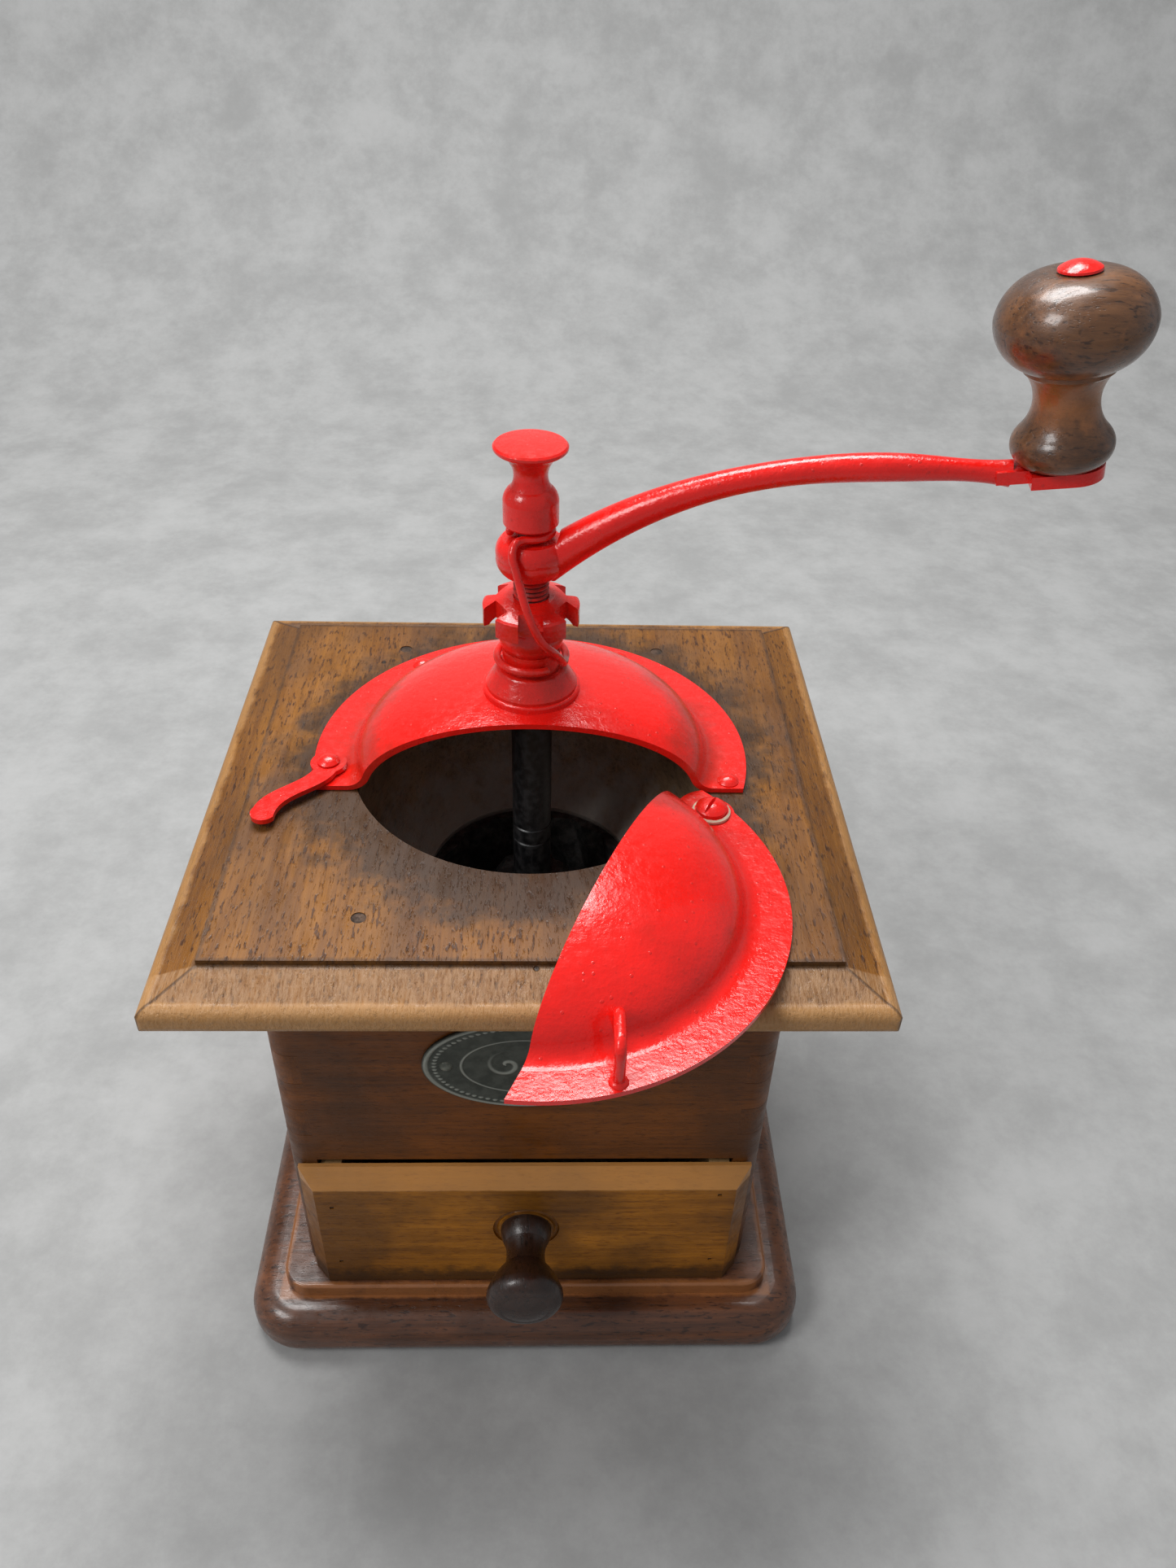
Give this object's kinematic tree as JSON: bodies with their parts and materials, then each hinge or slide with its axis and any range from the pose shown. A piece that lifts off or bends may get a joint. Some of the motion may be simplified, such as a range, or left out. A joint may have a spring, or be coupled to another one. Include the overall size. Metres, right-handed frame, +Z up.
{
  "type": "coffee mill",
  "caption": "Antique wooden box coffee mill with a red domed metal hopper cover that swings open, a curved hand crank with a turned wooden handle, and a drawer for the ground coffee.",
  "frame": {"origin": "centre of the base's flat underside, where the mill stands on a table", "axes": "+X to the viewer's right when the drawer faces the viewer, -Y towards the drawer, +Z up; the cover rests swung open, the drawer shut and the crank out to the right"},
  "size_m": [0.1882, 0.1727, 0.2613],
  "materials": {
    "base_wood": "dark waxed",
    "case_wood": "satin varnish",
    "top_wood": "worn satin varnish",
    "hopper_wood": "dark, oiled by use",
    "inner_wood": "bare",
    "drawer_wood": "satin varnish",
    "knob_wood": "dark waxed",
    "handle_wood": "dark polished",
    "steel": "dull",
    "iron": "dull, rusty",
    "plate_metal": "tarnished",
    "cover_paint": "glossy red paint",
    "washer_paint": "worn red paint",
    "fitting_paint": "glossy red paint",
    "crank_paint": "glossy red paint",
    "spindle_steel": "blackened",
    "burr_iron": "cast, oily"
  },
  "bodies": {
    "body": {"base_plinth": "base_wood", "base_screws": "steel", "case_front": "case_wood", "case_back": "case_wood", "case_left": "case_wood", "case_right": "case_wood", "top_board": "top_wood", "top_board_nails": "iron", "hopper_block": "hopper_wood", "drawer_guides": "inner_wood", "name_plate": "plate_metal", "name_plate_nails": "plate_metal", "back_cover": "cover_paint", "cover_rivets": "cover_paint", "cover_pivot_screw": "cover_paint", "cover_pivot_washer": "washer_paint", "latch_rivet": "cover_paint", "spindle_boss": "fitting_paint", "outer_burr": "burr_iron", "burr_screws": "steel", "lower_bridge": "burr_iron", "bridge_screws": "steel"},
    "drawer": {"drawer_front": "drawer_wood", "drawer_left": "inner_wood", "drawer_right": "inner_wood", "drawer_back": "inner_wood", "drawer_bottom": "inner_wood", "drawer_knob": "knob_wood", "drawer_pins": "iron"},
    "front_cover": {"front_cover": "cover_paint", "cover_loop": "cover_paint"},
    "latch": {"latch_lever": "cover_paint"},
    "lock_wire": {"lock_wire": "fitting_paint"},
    "adjusting_nut": {"adjusting_nut": "fitting_paint"},
    "spindle": {"spindle": "spindle_steel", "inner_burr": "burr_iron", "burr_pin": "steel", "crank_arm": "crank_paint", "knob_nut": "fitting_paint", "handle_pin": "crank_paint"},
    "handle": {"handle_knob": "handle_wood"}
  },
  "joints": [
    {"name": "drawer_slide", "type": "slide", "parent": "body", "child": "drawer", "axis": [0, -1, 0], "range_m": [0, 0.085]},
    {"name": "front_cover_swing", "type": "hinge", "parent": "body", "child": "front_cover", "pos_m": [0.04182, -0.01877, 0.1414], "axis": [0, 0, 1], "range_deg": [-66, 24]},
    {"name": "latch_swing", "type": "hinge", "parent": "body", "child": "latch", "pos_m": [-0.04682, -0.0027, 0.1428], "axis": [0, 0, 1], "range_deg": [-45, 48]},
    {"name": "crank_turn", "type": "hinge", "parent": "body", "child": "lock_wire", "pos_m": [0.0007, 0.0044, 0.17], "axis": [0, 0, 1], "continuous": true},
    {"name": "grind_adjust", "type": "hinge", "parent": "lock_wire", "child": "adjusting_nut", "pos_m": [0.0007, 0.0044, 0.18], "axis": [0, 0, 1], "range_deg": [-90, 90]},
    {"name": "grind_height", "type": "slide", "parent": "lock_wire", "child": "spindle", "axis": [0, 0, 1], "range_m": [-0.00027, 0.00027]},
    {"name": "handle_spin", "type": "hinge", "parent": "spindle", "child": "handle", "pos_m": [0.10348, -0.01004, 0.22276], "axis": [-0.1549, 0.0218, 0.9877], "continuous": true}
  ],
  "couplings": [
    {"joint": "grind_adjust", "follows": "grind_height", "rad_per_m": -5712}
  ]
}
